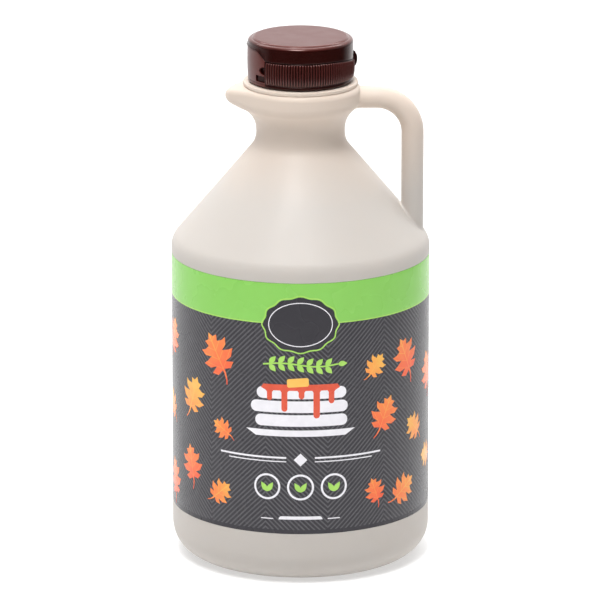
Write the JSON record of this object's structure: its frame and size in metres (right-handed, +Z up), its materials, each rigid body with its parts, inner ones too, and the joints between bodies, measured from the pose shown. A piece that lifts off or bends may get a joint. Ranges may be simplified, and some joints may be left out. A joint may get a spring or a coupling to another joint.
{
  "type": "maple syrup jug",
  "caption": "Round plastic syrup jug with a finger handle, a pinched lip, a wrap-round label and a ribbed screw cap whose lid flips up.",
  "frame": {"origin": "centre of the base, on the surface the jug stands on", "axes": "+Z up the jug's axis, +X towards the handle, -X towards the pinched lip, -Y towards the front of the label"},
  "size_m": [0.1002, 0.1002, 0.206],
  "materials": {
    "bottle": "satin, beige polyethylene",
    "label": "printed film, charcoal with a green band",
    "cap_base": "gloss, dark brown polypropylene",
    "cap_lid": "gloss, dark brown polypropylene"
  },
  "bodies": {
    "root": {"bottle": "bottle", "label": "label", "cap_base": "cap_base", "cap_lid": "cap_lid"}
  },
  "joints": []
}
